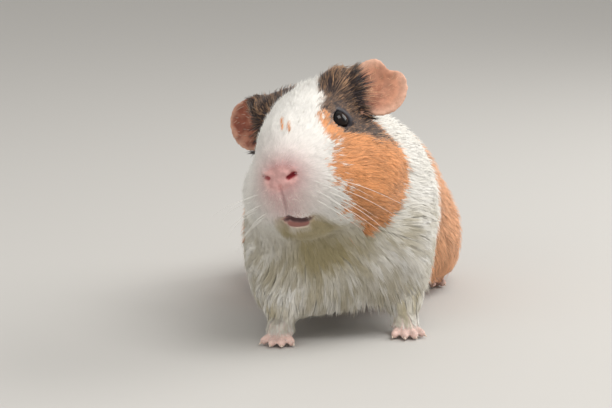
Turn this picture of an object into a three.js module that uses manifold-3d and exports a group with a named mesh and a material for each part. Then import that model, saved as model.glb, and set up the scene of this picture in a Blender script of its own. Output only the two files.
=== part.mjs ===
// A life-size short-haired guinea pig, standing with its head raised and tilted.
// Millimetres, +Z up, nose towards -Y, the animal's left side towards +X, soles on z = 0.
// The solids give the outline out to the tips of the coat.
import * as THREE from "three";
import { MarchingCubes } from "three/addons/objects/MarchingCubes.js";
import { mergeVertices } from "three/addons/utils/BufferGeometryUtils.js";
import Module from "manifold-3d";

const wasm = await Module();
wasm.setup();

// ---------------------------------------------------------------- driving dimensions
const GAP = 0.3; // between neighbouring pieces
const SLIVER = 0.1; // cuts leave slivers; those that matter less than this are merged away
const SIDES = { left: 1, right: -1 }; // sign of x

// Edge of a sampling cell: the triangles are finer where the form is smaller.
const GRAIN = { trunk: 11.9, head: 6.7, foreLeg: 7.4, hindLeg: 10, foot: 5 };
// How far neighbouring forms flow together, and how softly a sampled ball of flesh ends.
const BLEND = { flesh: 12, head: 9, throat: 8, earRoot: 8, paw: 3, end: 8 };
const WHOLE = { middle: [0, 12, 58], reach: 106 }; // a ball round the whole body
const HEAD_BALL = { middle: [0, 4, -8], reach: 60 }; // and round the head, in its own frame

// Left eye in the head's own frame, the way it looks, and half its opening: along, across, deep.
const EYE = { radius: 5.4, at: [14.6, 0.6, 1.6], gaze: [0.9, -0.42, 0.1], opening: [6.4, 4.8, 3.2] };

const EAR = {
  base: [21, 20, 5], // where the left ear leaves the head, in the head's own frame
  reach: [9, 7], // from there to the middle of the leaf: outwards and upwards in its plane
  rim: 12.6, // mean radius of the leaf
  cup: 3.2, // how far the rim stands in front of the middle
  thickness: 1.6,
};
// The way each opening faces, how far the ear is pricked up, and its notch: angle and half width in
// radians, share of the rim.
const EAR_POSE = {
  left: { facing: [0.43, -0.9, 0.09], raised: 0, notch: { at: 0.77, width: 0.36, depth: 0.36 } },
  right: { facing: [-0.25, -0.95, 0.12], raised: 1.4, notch: { at: 1.5, width: 0.5, depth: 0.16 } },
};

const WRIST_CUT = 9.5; // height of the cut between forefeet and forelegs
const SKIRT = 5; // height of the fur's lower edge over the hind feet
const WRIST = { left: [25, -31, 9], right: [-27, -47, 9] };
const ANKLE = { left: [33, 82, 9], right: [-35, 78, 9] };
const TURN = { front: { left: 14, right: -4 }, hind: { left: 8, right: -8 } }; // the feet, about z
const FORE_FOOT = { wrist: 7.2, toes: [-6.9, -2.4, 2.3, 6.7], toe: 1.75, reach: 13.5 };
const HIND_FOOT = { wrist: 6.5, toes: [-5.8, 0, 5.8], toe: 2.0, reach: 32 };
const FOOT_ROOM = { width: 15.5, front: -40, back: 12 };
const TOE = { length: 8.5, gather: 0.55, knuckle: 3.4, flat: 0.15, arc: 0.07 };
const CLAW = { length: 3.1, radius: 0.7, hook: 0.7, root: 1.2 };
const LEG_CUT = {
  front: { height: 14, radii: [15, 22, 17] },
  hind: { height: 14, radii: [20, 32, 24] },
};
const NOSTRIL = { at: [5.2, -38.2, -14.4], radii: [1.2, 2.2, 1.9] };

// ---------------------------------------------------------------- frames
// A frame is placed by a point and turned by yaw about z, then pitch about x, then roll about y.
const degrees = THREE.MathUtils.degToRad;
function frameAt(at, yaw = 0, pitch = 0, roll = 0) {
  const turn = new THREE.Euler(degrees(pitch), degrees(roll), degrees(yaw), "ZXY");
  return new THREE.Matrix4().makeRotationFromEuler(turn).setPosition(...at);
}
const BODY = frameAt([0, 0, 0]);
// Its origin lies between the eyes; the head is turned to the animal's right, the left ear high.
const HEAD = frameAt([-17, -46, 88], -17, -5, -19);

// A frame whose z axis is the given direction, with its y axis as near upright as it can be.
function facingFrame(at, direction) {
  const z = new THREE.Vector3(...direction).normalize();
  const y = new THREE.Vector3(0, 0, 1).addScaledVector(z, -z.z).normalize();
  const x = new THREE.Vector3().crossVectors(y, z);
  return new THREE.Matrix4().makeBasis(x, y, z).setPosition(...at);
}
const within = (frame, inner) => frame.clone().multiply(inner);

// ---------------------------------------------------------------- implicit forms
// Each form is a function of a point that is negative inside, roughly in millimetres.
const probe = new THREE.Vector3();

function ellipsoid(frame, at, radii, yaw = 0, pitch = 0, roll = 0) {
  const inverse = within(frame, frameAt(at, yaw, pitch, roll)).invert();
  const [a, b, c] = radii;
  return (p) => {
    probe.copy(p).applyMatrix4(inverse);
    const near = Math.hypot(probe.x / a, probe.y / b, probe.z / c);
    const slope = Math.hypot(probe.x / (a * a), probe.y / (b * b), probe.z / (c * c));
    return slope < 1e-9 ? -Math.min(a, b, c) : (near * (near - 1)) / slope;
  };
}

// A bone with flesh: a tapering rod between two points.
function limb(frame, from, to, fromRadius, toRadius) {
  const a = new THREE.Vector3(...from).applyMatrix4(frame);
  const axis = new THREE.Vector3(...to).applyMatrix4(frame).sub(a);
  const length = axis.length();
  axis.normalize();
  return (p) => {
    const t = THREE.MathUtils.clamp(probe.copy(p).sub(a).dot(axis) / length, 0, 1);
    probe.copy(p).sub(a).addScaledVector(axis, -t * length);
    return probe.length() - THREE.MathUtils.lerp(fromRadius, toRadius, t);
  };
}

// The union of two forms with a fillet of about width k.
function smoothMin(a, b, k) {
  const h = Math.max(k - Math.abs(a - b), 0) / k;
  return Math.min(a, b) - (h * h * k) / 4;
}
const blended = (forms, k) => (p) => forms.reduce((d, form) => smoothMin(d, form(p), k), 1e3);
const bothSides = (make) => Object.values(SIDES).map(make);

// ---------------------------------------------------------------- the animal's forms
const trunkForms = [
  ellipsoid(BODY, [-3, 0, 54], [40, 50, 39]), // rib cage
  ellipsoid(BODY, [0, 32, 47], [42.5, 52, 38]), // belly and back
  ellipsoid(BODY, [-2, 34, 56], [28, 46, 33]), // spine
  ellipsoid(BODY, [0, 68, 41], [38, 40, 35]), // rump
  ellipsoid(BODY, [-3, -30, 45], [35, 26, 31]), // breast
  ellipsoid(BODY, [-12, -35, 31], [19, 18, 21]), // its lower edge, which hangs between the forelegs
  ellipsoid(BODY, [32, 58, 25], [19, 35, 26]), // left haunch
  ellipsoid(BODY, [-35, 54, 23], [18, 35, 26]), // right haunch
  ellipsoid(BODY, [25, -16, 47], [13, 22, 27]), // left shoulder, set back
  ellipsoid(BODY, [-31, -20, 35], [15, 22, 26.5]), // right shoulder, over the leading foot
  ellipsoid(BODY, [-9, -24, 68], [31, 28, 28], 0, 20), // neck
];
const legForms = Object.entries(SIDES).flatMap(([side, s]) => [
  limb(BODY, [s * 24, -16, 27], WRIST[side], 10.5, FORE_FOOT.wrist),
  limb(BODY, [s * 31, 74, 22], ANKLE[side], 12, HIND_FOOT.wrist),
]);
const headForms = [
  ellipsoid(HEAD, [0, 16, -2], [21, 30, 25]), // skull
  ellipsoid(HEAD, [0, -6, 1], [15.5, 22, 13]), // brow
  ellipsoid(HEAD, [0, -19, -8], [13.5, 20, 13]), // bridge of the nose
  ellipsoid(HEAD, [0, -24, -17], [14, 14.5, 15]), // muzzle
  ...bothSides((s) => ellipsoid(HEAD, [s * 6.5, -28, -23], [8.5, 8.5, 9])), // upper lips
  ...bothSides((s) => ellipsoid(HEAD, [s * 17, 7, -22], [17.8, 27, 20.5])), // cheeks
  ...bothSides((s) => ellipsoid(HEAD, [s * 12.5, -12, -20], [12.5, 18, 14])), // whisker pads
  ellipsoid(HEAD, [0, -13, -32], [14, 17, 11]), // chin
];
const earRootForms = [
  ellipsoid(HEAD, [13, 19, 17], [8, 9, 12], 0, 0, 35), // left, rising to its ear
  ellipsoid(HEAD, [-17, 19, 17], [14, 8, 7.5]), // right, reaching out along its ear
];
const skull = blended(headForms, BLEND.head);
const earRoots = blended(earRootForms, BLEND.earRoot);
const torso = blended([...trunkForms, ...legForms], BLEND.flesh);
const headAndRoots = (p) => smoothMin(skull(p), earRoots(p), BLEND.earRoot);
const flesh = (p) => smoothMin(torso(p), headAndRoots(p), BLEND.throat);

// ---------------------------------------------------------------- solids
function solidFrom(indexed) {
  return new wasm.Manifold(
    new wasm.Mesh({
      numProp: 3,
      vertProperties: new Float32Array(indexed.getAttribute("position").array),
      triVerts: new Uint32Array(indexed.index.array),
    }),
  );
}

// A closed three.js geometry placed in a frame, as a solid.
function placed(geometry, frame) {
  geometry.applyMatrix4(frame);
  const bare = new THREE.BufferGeometry().setAttribute("position", geometry.getAttribute("position"));
  bare.setIndex(geometry.index);
  return solidFrom(mergeVertices(bare, 1e-4));
}

function geometryOf(solid) {
  const mesh = solid.getMesh();
  const geometry = new THREE.BufferGeometry();
  geometry.setAttribute("position", new THREE.BufferAttribute(mesh.vertProperties, 3));
  geometry.setIndex(new THREE.BufferAttribute(mesh.triVerts, 1));
  return geometry;
}

function ball(frame, at, radii, turns = 14) {
  const sphere = new THREE.SphereGeometry(1, turns, Math.round(turns * 0.6)).scale(...radii);
  return placed(sphere, within(frame, frameAt(at)));
}

// All that lies beyond a plane, on the side its normal points to, as one large block.
const LARGE = 500;
function beyond(frame, { at, normal }, inset = 0) {
  const direction = new THREE.Vector3(...normal).normalize();
  const turn = new THREE.Quaternion().setFromUnitVectors(new THREE.Vector3(0, 0, 1), direction);
  const block = new THREE.BoxGeometry(LARGE, LARGE, LARGE).translate(0, 0, LARGE / 2 + inset);
  return placed(block.applyQuaternion(turn).translate(...at), frame);
}

const largest = (solid) => solid.decompose().sort((a, b) => b.volume() - a.volume())[0];

// ---------------------------------------------------------------- from a form to a solid
const sample = new THREE.Vector3();
function gradient(form, p, out) {
  const step = 0.2;
  const at = (x, y, z) => form(sample.set(p.x + x, p.y + y, p.z + z));
  out.set(
    at(step, 0, 0) - at(-step, 0, 0),
    at(0, step, 0) - at(0, -step, 0),
    at(0, 0, step) - at(0, 0, -step),
  );
  return out.divideScalar(2 * step);
}

// Samples a form in a cube, and returns what it encloses with even triangles.
const MARGIN = 3; // cells round the cube that the polygoniser leaves out
function solidified(form, centre, half, grain) {
  const cells = Math.ceil((2 * half) / grain) + 2 * MARGIN;
  const span = (cells * grain) / 2;
  const cubes = new MarchingCubes(cells, new THREE.Material(), false, false, 40000);
  cubes.isolation = 0;
  const place = (i) => i * grain - span;
  const p = new THREE.Vector3();
  for (let z = 0, q = 0; z < cells; z++)
    for (let y = 0; y < cells; y++)
      for (let x = 0; x < cells; x++, q++)
        cubes.field[q] = -form(p.set(place(x), place(y), place(z)).add(centre));
  cubes.update();
  const soup = new THREE.BufferGeometry();
  const corners = cubes.geometry.getAttribute("position").array.slice(0, cubes.count * 3);
  soup.setAttribute("position", new THREE.BufferAttribute(corners, 3));
  const surface = mergeVertices(soup, 1e-5);
  surface.scale(span, span, span).translate(centre.x, centre.y, centre.z);
  relax(surface, form);
  return largest(solidFrom(surface));
}

// Slides each vertex towards the middle of its neighbours and back onto the form.
function relax(surface, form, rounds = 6) {
  const position = surface.getAttribute("position");
  const neighbours = Array.from({ length: position.count }, () => new Set());
  const index = surface.index.array;
  for (let i = 0; i < index.length; i += 3)
    for (let k = 0; k < 3; k++) {
      neighbours[index[i + k]].add(index[i + ((k + 1) % 3)]);
      neighbours[index[i + ((k + 1) % 3)]].add(index[i + k]);
    }
  const p = new THREE.Vector3();
  const middle = new THREE.Vector3();
  const slope = new THREE.Vector3();
  for (let round = 0; round < rounds; round++)
    neighbours.forEach((ring, i) => {
      p.fromBufferAttribute(position, i);
      middle.set(0, 0, 0);
      for (const j of ring) middle.add(sample.fromBufferAttribute(position, j));
      p.lerp(middle.divideScalar(ring.size), 0.6);
      gradient(form, p, slope);
      p.addScaledVector(slope, -form(p) / Math.max(slope.lengthSq(), 0.05));
      position.setXYZ(i, p.x, p.y, p.z);
    });
}

// ---------------------------------------------------------------- feet and claws
// In a foot's own frame the toes point along -y and the leg comes down on the origin.
function pawForm(frame, foot, hind) {
  const { wrist, reach } = foot;
  const knuckle = TOE.length - reach;
  const palm = hind
    ? [
        ellipsoid(frame, [0, 2.5, 4.2], [5.2, 6.5, 4.8]), // heel
        limb(frame, [0, 0, 4.6], [0, knuckle, 3.4], 4.9, 4.4), // sole
        ellipsoid(frame, [0, knuckle, 3.4], [6.2, 5.5, 3.8]), // ball of the foot
      ]
    : [ellipsoid(frame, [0, -2.5, 3.8], [5.6, 6, 4.2])];
  const shank = limb(frame, [0, 0, 15], [0, 0, wrist], wrist, wrist * 0.85);
  return blended([shank, ...palm], BLEND.paw);
}

// The middle toes reach furthest.
const toeTip = ({ toe, reach }, x) => [x, TOE.arc * x * x - reach, toe - TOE.flat];

// A toe is a blunt rod from the knuckle to its tip.
function toeSolid(frame, foot, x) {
  const from = new THREE.Vector3(x * TOE.gather, TOE.length - foot.reach, TOE.knuckle);
  const to = new THREE.Vector3(...toeTip(foot, x));
  const half = from.distanceTo(to) / 2;
  const rod = new THREE.SphereGeometry(1, 6, 5).rotateX(Math.PI / 2);
  const corner = rod.getAttribute("position");
  for (let i = 0; i < corner.count; i++) {
    const [across, up, along] = [corner.getX(i), corner.getY(i), corner.getZ(i)];
    const swell = foot.toe * Math.hypot(across, up) ** -0.4; // blunter than a ball
    const width = Number.isFinite(swell) ? swell : 0;
    corner.setXYZ(i, across * width, up * width, along * half);
  }
  const middle = from.clone().lerp(to, 0.5).toArray();
  return placed(rod, within(frame, facingFrame(middle, to.sub(from).toArray())));
}

function clawSolid(frame, foot, x, grow = 0) {
  const length = CLAW.length + grow;
  const cone = new THREE.ConeGeometry(CLAW.radius + grow, length, 6, 2, false);
  cone.rotateX(Math.PI / 2).translate(0, 0, length / 2 - grow); // base at the origin, tip along +z
  const corner = cone.getAttribute("position");
  for (let i = 0; i < corner.count; i++) {
    const t = corner.getZ(i) / CLAW.length;
    corner.setY(i, corner.getY(i) - CLAW.hook * t * t);
  }
  const [tipX, tipY, tipZ] = toeTip(foot, x);
  return placed(cone, within(frame, facingFrame([tipX, tipY + CLAW.root, tipZ], [x * 0.05, -1, 0])));
}

const ground = { at: [0, 0, 0], normal: [0, 0, -1] };
const wristCut = { at: [0, 0, WRIST_CUT], normal: [0, 0, 1] };
const skirtCut = { at: [0, 0, SKIRT], normal: [0, 0, 1] };

// Makes one foot with its claws.
function addFoot(parts, end, side, foot, [x, y]) {
  const hind = end === "hind";
  const frame = frameAt([x, y, 0], TURN[end][side]);
  const middle = new THREE.Vector3(0, 2 - foot.reach / 2, 7).applyMatrix4(frame);
  const half = foot.reach / 2 + 14;
  let solid = solidified(pawForm(frame, foot, hind), middle, half, GRAIN.foot);
  for (const toe of foot.toes) solid = solid.add(toeSolid(frame, foot, toe));
  solid = solid.subtract(beyond(BODY, ground)).subtract(beyond(BODY, wristCut, -GAP / 2));
  foot.toes.forEach((toe, i) => {
    solid = solid.subtract(clawSolid(frame, foot, toe, GAP));
    parts.set(`claw_${end}_${side}_${i + 1}`, clawSolid(frame, foot, toe));
  });
  parts.set(`foot_${end}_${side}`, largest(solid));
}

// The room that a hind foot takes under the fur of the haunch.
function footRoom(side) {
  const { width, front, back } = FOOT_ROOM;
  const block = new THREE.BoxGeometry(width, back - front, WRIST_CUT + GAP);
  block.translate(0, (front + back) / 2, (WRIST_CUT + GAP) / 2);
  const [x, y] = ANKLE[side];
  return placed(block, frameAt([x, y, 0], TURN.hind[side]));
}

// ---------------------------------------------------------------- ears
// A leaf with a notch in its rim, hollowed towards the side it faces.
function earSolid(side) {
  const s = SIDES[side];
  const { facing, raised, notch } = EAR_POSE[side];
  const leaf = new THREE.SphereGeometry(1, 28, 7).rotateX(Math.PI / 2);
  const corner = leaf.getAttribute("position");
  for (let i = 0; i < corner.count; i++) {
    const [x, y, z] = [corner.getX(i), corner.getY(i), corner.getZ(i)];
    const turn = (Math.atan2(y, s * x) - notch.at) / notch.width;
    const rim = EAR.rim * (1 - notch.depth * Math.exp(-turn * turn));
    const hollow = EAR.cup * (x * x + y * y);
    corner.setXYZ(i, x * rim, y * rim, hollow + (z * EAR.thickness) / 2);
  }
  leaf.translate(s * EAR.reach[0], EAR.reach[1], -EAR.cup / 2);
  const [x, y, z] = EAR.base;
  return placed(leaf, within(HEAD, facingFrame([s * x, y, z + raised], facing)));
}

// ---------------------------------------------------------------- whole body, then thin cuts
const parts = new Map();
const napePlane = { at: [0, 30, 20], normal: [0, 0.95, -0.31] }; // behind the ears to the throat
const throatPlane = { at: [0, 0, -43.5], normal: [0, 0.05, -1] }; // under the jaw
const neckPlane = { at: [0, -2, 98], normal: [0, 0.72, -0.69] }; // withers to breast
const jawPlane = { at: [0, -34, -31], normal: [0, -0.25, -0.97] }; // mouth to the angle of the jaw

// The flesh inside a ball, polygonised as finely as that part of the body needs.
function fleshWithin(centre, reach, grain) {
  const inside = (p) => reach - probe.copy(p).sub(centre).length();
  return solidified((p) => -smoothMin(-flesh(p), inside(p), BLEND.end), centre, reach, grain);
}
const whole = solidified(flesh, new THREE.Vector3(...WHOLE.middle), WHOLE.reach, GRAIN.trunk);
const behindHead = (inset) => beyond(HEAD, napePlane, inset).add(beyond(HEAD, throatPlane, inset));
const behindNeck = (inset) => behindHead(inset).intersect(beyond(BODY, neckPlane, inset));
const body = whole.intersect(behindHead(GAP / 2)).intersect(beyond(BODY, skirtCut, GAP / 2));

// head, jaw and eyes
const headMiddle = new THREE.Vector3(...HEAD_BALL.middle).applyMatrix4(HEAD);
const headBulk = fleshWithin(headMiddle, HEAD_BALL.reach, GRAIN.head);
let head = headBulk.subtract(behindHead(-GAP / 2));
parts.set("jaw", largest(head.intersect(beyond(HEAD, jawPlane, GAP / 2))));
head = head.subtract(beyond(HEAD, jawPlane, -GAP / 2));
const evenBall = (frame, at, radius) => ball(frame, at, [radius, radius, radius]);
for (const [side, s] of Object.entries(SIDES)) {
  const [x, y, z] = EYE.at;
  const [across, along, up] = EYE.gaze;
  const eyeFrame = within(HEAD, facingFrame([s * x, y, z], [s * across, along, up]));
  head = head
    .subtract(evenBall(eyeFrame, [0, 0, 0], EYE.radius + GAP))
    .subtract(ball(eyeFrame, [0, 0, EYE.radius], EYE.opening))
    .subtract(ball(HEAD, [s * NOSTRIL.at[0], NOSTRIL.at[1], NOSTRIL.at[2]], NOSTRIL.radii, 8));
  parts.set(`eye_${side}`, evenBall(eyeFrame, [0, 0, 0], EYE.radius));
}
parts.set("head", largest(head));

// neck, trunk, legs and feet
parts.set("neck", largest(body.subtract(beyond(BODY, neckPlane, -GAP / 2))));
let trunk = body.intersect(beyond(BODY, neckPlane, GAP / 2));
for (const [side, s] of Object.entries(SIDES)) {
  addFoot(parts, "front", side, FORE_FOOT, WRIST[side]);
  addFoot(parts, "hind", side, HIND_FOOT, ANKLE[side]);
  const room = footRoom(side);
  const [ankleX, ankleY] = ANKLE[side];
  const ends = [
    { end: "front", x: s * 27, y: (WRIST[side][1] - 16) / 2, cut: wristCut, grain: GRAIN.foreLeg },
    { end: "hind", x: ankleX + s * 3, y: ankleY - 12, cut: skirtCut, grain: GRAIN.hindLeg },
  ];
  for (const { end, x, y, cut, grain } of ends) {
    const { height, radii } = LEG_CUT[end];
    const at = [x, y, height];
    const middle = new THREE.Vector3(...at);
    const bulk = fleshWithin(middle, Math.max(...radii) + 8, grain);
    const shape = ball(BODY, at, radii, 20).intersect(behindNeck(GAP / 2));
    const leg = bulk.intersect(shape).intersect(beyond(BODY, cut, GAP / 2));
    const wider = radii.map((radius) => radius + GAP);
    parts.set(`leg_${end}_${side}`, largest(end === "hind" ? leg.subtract(room) : leg));
    trunk = trunk.subtract(ball(BODY, at, wider, 20));
  }
  trunk = trunk.subtract(room);
}
parts.set("trunk", largest(trunk));

for (const [side, s] of Object.entries(SIDES)) {
  const outwards = new THREE.Vector3(s, 0, 0.3).transformDirection(HEAD).multiplyScalar(GAP * 1.2);
  let ear = earSolid(side);
  for (const neighbour of [headBulk, whole])
    ear = ear.subtract(neighbour).subtract(neighbour.translate(outwards.toArray()));
  parts.set(`ear_${side}`, largest(ear));
}

// ---------------------------------------------------------------- meshes
const COLOURS = {
  claw: 0xd9c6b4,
  ear: 0xcf8f7c,
  eye: 0x0d0b0d,
  foot: 0xe2b3a4,
  head: 0xece7de,
  jaw: 0xeee6dc,
  leg: 0xe9e2d8,
  neck: 0xe6dfd3,
  trunk: 0xcf9159,
};
const group = new THREE.Group();
for (const [name, solid] of parts) {
  const kind = name.split("_")[0];
  const roughness = kind === "eye" ? 0.1 : 0.85;
  const material = new THREE.MeshStandardMaterial({ color: COLOURS[kind], roughness, metalness: 0 });
  const mesh = new THREE.Mesh(geometryOf(solid.simplify(SLIVER)), material);
  mesh.name = name;
  group.add(mesh);
}

// The origin is on the floor, under the middle of the animal's box.
const middle = new THREE.Box3().setFromObject(group).getCenter(new THREE.Vector3());
group.position.set(-middle.x, -middle.y, 0);
export default group;
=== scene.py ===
# %% [markdown]
# # A short-haired guinea pig, dressed
# The frame holds the animal's solids: head, jaw, neck, trunk, legs, feet, ears, eyes and claws, out to the
# tips of the coat. This lesson lays one skin inside them, sculpts the face on it, sets in the eyes and the
# claws, and grows the coat as thousands of small solid tufts that follow the lie of the hair.
# Lengths are named in millimetres, as an anatomist would give them, and turned into metres by MM.

import bpy
import math
import numpy as np
from mathutils import Matrix, Vector
from mathutils.bvhtree import BVHTree
from mathutils.kdtree import KDTree


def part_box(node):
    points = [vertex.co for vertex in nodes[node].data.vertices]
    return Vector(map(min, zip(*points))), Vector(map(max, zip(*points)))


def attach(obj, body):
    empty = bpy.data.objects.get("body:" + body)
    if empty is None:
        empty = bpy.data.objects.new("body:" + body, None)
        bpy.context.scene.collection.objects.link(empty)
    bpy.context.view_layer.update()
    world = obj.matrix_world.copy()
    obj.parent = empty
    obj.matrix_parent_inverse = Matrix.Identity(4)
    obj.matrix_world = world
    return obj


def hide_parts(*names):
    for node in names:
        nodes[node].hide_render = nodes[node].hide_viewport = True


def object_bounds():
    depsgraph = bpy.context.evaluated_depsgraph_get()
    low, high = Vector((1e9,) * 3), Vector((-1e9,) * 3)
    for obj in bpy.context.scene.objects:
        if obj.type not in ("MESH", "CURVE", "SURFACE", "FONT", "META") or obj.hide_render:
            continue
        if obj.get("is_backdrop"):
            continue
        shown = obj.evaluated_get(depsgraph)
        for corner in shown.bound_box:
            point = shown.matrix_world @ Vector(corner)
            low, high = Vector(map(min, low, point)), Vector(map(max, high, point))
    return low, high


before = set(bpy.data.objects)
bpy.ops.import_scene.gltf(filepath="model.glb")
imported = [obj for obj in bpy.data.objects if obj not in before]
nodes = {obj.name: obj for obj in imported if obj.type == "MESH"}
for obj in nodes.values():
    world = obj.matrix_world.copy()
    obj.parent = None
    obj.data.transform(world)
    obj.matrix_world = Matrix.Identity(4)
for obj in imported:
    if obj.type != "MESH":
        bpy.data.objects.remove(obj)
cad_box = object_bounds()
MM = 0.001
SIDES = {"left": 1.0, "right": -1.0}
print("solids:", len(nodes), "box in mm:", [round(x / MM, 1) for corner in cad_box for x in corner])

# %% [markdown]
# ## The head's own frame
# Every place on the face is easiest to give in a frame that turns with the head: x towards the animal's left,
# y backwards, z up, and the origin between the eyes. The eyes' boxes say where that is. The head is turned a
# little to the animal's right, with the nose up and the left ear high.

# %% Head frame
HEAD_YAW, HEAD_PITCH, HEAD_ROLL = -17.0, -5.0, -19.0
EYE_AT = np.array([14.6, 0.6, 1.6])  # the left eye's middle, in the head's frame


def turn_matrix(yaw, pitch, roll):
    """Turned about z by yaw, then about x by pitch, then about y by roll, in degrees."""
    a, b, c = (math.radians(angle) for angle in (yaw, pitch, roll))
    return np.array(Matrix.Rotation(a, 3, "Z") @ Matrix.Rotation(b, 3, "X") @ Matrix.Rotation(c, 3, "Y"))


def box_middle(node):
    low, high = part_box(node)
    return np.array((low + high) / 2) / MM


HEAD_TURN = turn_matrix(HEAD_YAW, HEAD_PITCH, HEAD_ROLL)
between_eyes = (box_middle("eye_left") + box_middle("eye_right")) / 2
HEAD_AT = between_eyes - HEAD_TURN @ (EYE_AT * [0, 1, 1])


def to_head(points):
    return (np.asarray(points) - HEAD_AT) @ HEAD_TURN


def from_head(points):
    return np.asarray(points) @ HEAD_TURN.T + HEAD_AT


def unit(vectors):
    vectors = np.asarray(vectors, float)
    return vectors / np.maximum(np.linalg.norm(vectors, axis=-1, keepdims=True), 1e-9)


def smooth(low, high, x):
    """0 below low, 1 above high, and a smooth step between them; low may be the larger."""
    t = np.clip((np.asarray(x, float) - low) / (high - low), 0, 1)
    return t * t * (3 - 2 * t)


def near(points, centre, radius):
    """1 at the centre, falling smoothly to 0 well outside the radius (one number, or one for each axis)."""
    gap = (np.asarray(points) - np.asarray(centre)) / np.asarray(radius)
    return np.exp(-(gap**2).sum(-1))


print("between the eyes, in mm:", between_eyes.round(1))

# %% [markdown]
# ## Camera, light and floor
# The camera stands low and close in front, a little to the animal's left, as a visitor would kneel to look.
# A long lens keeps the muzzle from swelling. The light is that of a bright studio: a broad soft light high
# above the brow, which leaves the throat in a gentle shade, a fill from the front and an edge from behind.

# %% Camera
CAMERA_AWAY = 750.0  # from the point between the eyes
CAMERA_AZIMUTH, CAMERA_ELEVATION = math.radians(4), math.radians(11)
FOCAL_PER_WIDTH = 1800 / 612  # focal length over the picture's width
EYES_IN_PICTURE = (-0.0025, 0.1103)  # where the point between the eyes falls, from the middle, in widths



def add_object(name, data):
    thing = bpy.data.objects.new(name, data)
    bpy.context.scene.collection.objects.link(thing)
    return thing


def look(thing, way):
    """Turns a camera or a light to look that way."""
    thing.rotation_mode = "QUATERNION"
    thing.rotation_quaternion = Vector(way).to_track_quat("-Z", "Y")


back = np.array(
    [
        math.sin(CAMERA_AZIMUTH) * math.cos(CAMERA_ELEVATION),
        -math.cos(CAMERA_AZIMUTH) * math.cos(CAMERA_ELEVATION),
        math.sin(CAMERA_ELEVATION),
    ]
)
right = np.array([math.cos(CAMERA_AZIMUTH), math.sin(CAMERA_AZIMUTH), 0.0])
above = np.cross(back, right)
offset = right * EYES_IN_PICTURE[0] + above * EYES_IN_PICTURE[1]
camera_at = HEAD_AT + back * CAMERA_AWAY - offset * CAMERA_AWAY / FOCAL_PER_WIDTH

camera_data = bpy.data.cameras.new("camera")
camera_data.sensor_width = 36.0
camera_data.lens = FOCAL_PER_WIDTH * camera_data.sensor_width
camera_data.clip_start = 0.02
camera = add_object("camera", camera_data)
camera.location = Vector(camera_at * MM)
look(camera, -back)
bpy.context.scene.camera = camera
print("camera at, in mm:", camera_at.round(1), "lens:", round(camera_data.lens, 1))

# %% Lights and backdrop
FACE_TARGET = Vector(from_head([0, 0, -15]) * MM)


def soft_light(name, place, size, power, colour):
    """A square area light that looks at the face."""
    data = bpy.data.lights.new(name, "AREA")
    data.shape, data.size, data.energy, data.color = "SQUARE", size, power, colour
    light = add_object(name, data)
    light.location = place
    look(light, FACE_TARGET - Vector(place))


def new_material(name, **values):
    """A Principled material with some of its constant values set."""
    paint = bpy.data.materials.new(name)
    paint.use_nodes = True
    shader = paint.node_tree.nodes["Principled BSDF"]
    for socket, value in values.items():
        shader.inputs[socket.replace("_", " ")].default_value = value
    return paint, paint.node_tree, shader


soft_light("key_light", (0.45, -0.45, 1.1), 0.6, 7.4, (1.0, 0.985, 0.965))
soft_light("fill_light", (-0.7, -0.9, 0.4), 0.9, 2.6, (1.0, 0.975, 0.93))
soft_light("edge_light", (0.8, 0.35, 0.6), 0.6, 5.5, (1.0, 0.98, 0.95))

world = bpy.data.worlds.new("studio")
world.use_nodes = True
backdrop = world.node_tree.nodes["Background"].inputs
backdrop["Color"].default_value = (1.0, 0.975, 0.935, 1)
backdrop["Strength"].default_value = 0.60
bpy.context.scene.world = world
bpy.context.scene.view_settings.view_transform = "Standard"

FLOOR_SIZE = 6.0
bpy.ops.mesh.primitive_plane_add(size=FLOOR_SIZE, location=(0, 0, 0))
floor = bpy.context.object
floor.name = "floor"
floor_paint, _, _ = new_material("floor_paint", Base_Color=(0.56, 0.55, 0.53, 1), Roughness=0.8)
floor.data.materials.append(floor_paint)
floor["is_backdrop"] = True
print("floor and lights are up")

# %% [markdown]
# ## One skin out of the flesh solids
# The solids are parted by thin cuts, as the parts of a body are named. A real skin has no such seams, so
# copies of the solids are grown a hair's breadth until they overlap, joined, and wrapped by a voxel remesh
# into one closed surface. Before the remesh, the eyelids are added as rolls of flesh, so that they become
# part of the same surface.

# %% Copy and join the flesh
FLESH_KINDS = ("head", "jaw", "neck", "trunk", "ear", "leg", "foot")
FLESH = [name for name in nodes if name.split("_")[0] in FLESH_KINDS]
GROW = 0.28  # mm, just enough to bridge a cut between two pieces
EAR_GROW = 0.5  # mm, which also rounds the sharp edge of the leaf
TOE_GROW = 0.15  # mm, so little that the toes stay apart
TOE_TOP, WRIST_CUT = 6.0, 9.0  # heights of the toes, and of the cut above the foot
VOXEL = 0.7  # mm, fine enough for an ear's edge and the gaps between the toes
MERGE_WITHIN = 0.00002  # m, closer than any two corners of a solid


def deselect():
    for thing in bpy.context.selected_objects:
        thing.select_set(False)


def activate(thing):
    deselect()
    thing.select_set(True)
    bpy.context.view_layer.objects.active = thing


def read(things, name, width=3, kind=float):
    """A row of numbers for each vertex, edge or face of a mesh."""
    flat = np.empty(len(things) * width, kind)
    things.foreach_get(name, flat)
    return flat.reshape(-1, width)


def places(mesh):
    """The vertices' places, in mm."""
    return read(mesh.vertices, "co") / MM


def set_places(mesh, points):
    mesh.vertices.foreach_set("co", (np.asarray(points) * MM).ravel())
    mesh.update()


def normals_of(mesh):
    return read(mesh.vertex_normals, "vector")


def edited(thing, operator, **settings):
    """Runs an edit-mode operator on the whole of a mesh."""
    activate(thing)
    bpy.ops.object.mode_set(mode="EDIT")
    bpy.ops.mesh.select_all(action="SELECT")
    operator(**settings)
    bpy.ops.object.mode_set(mode="OBJECT")


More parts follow.
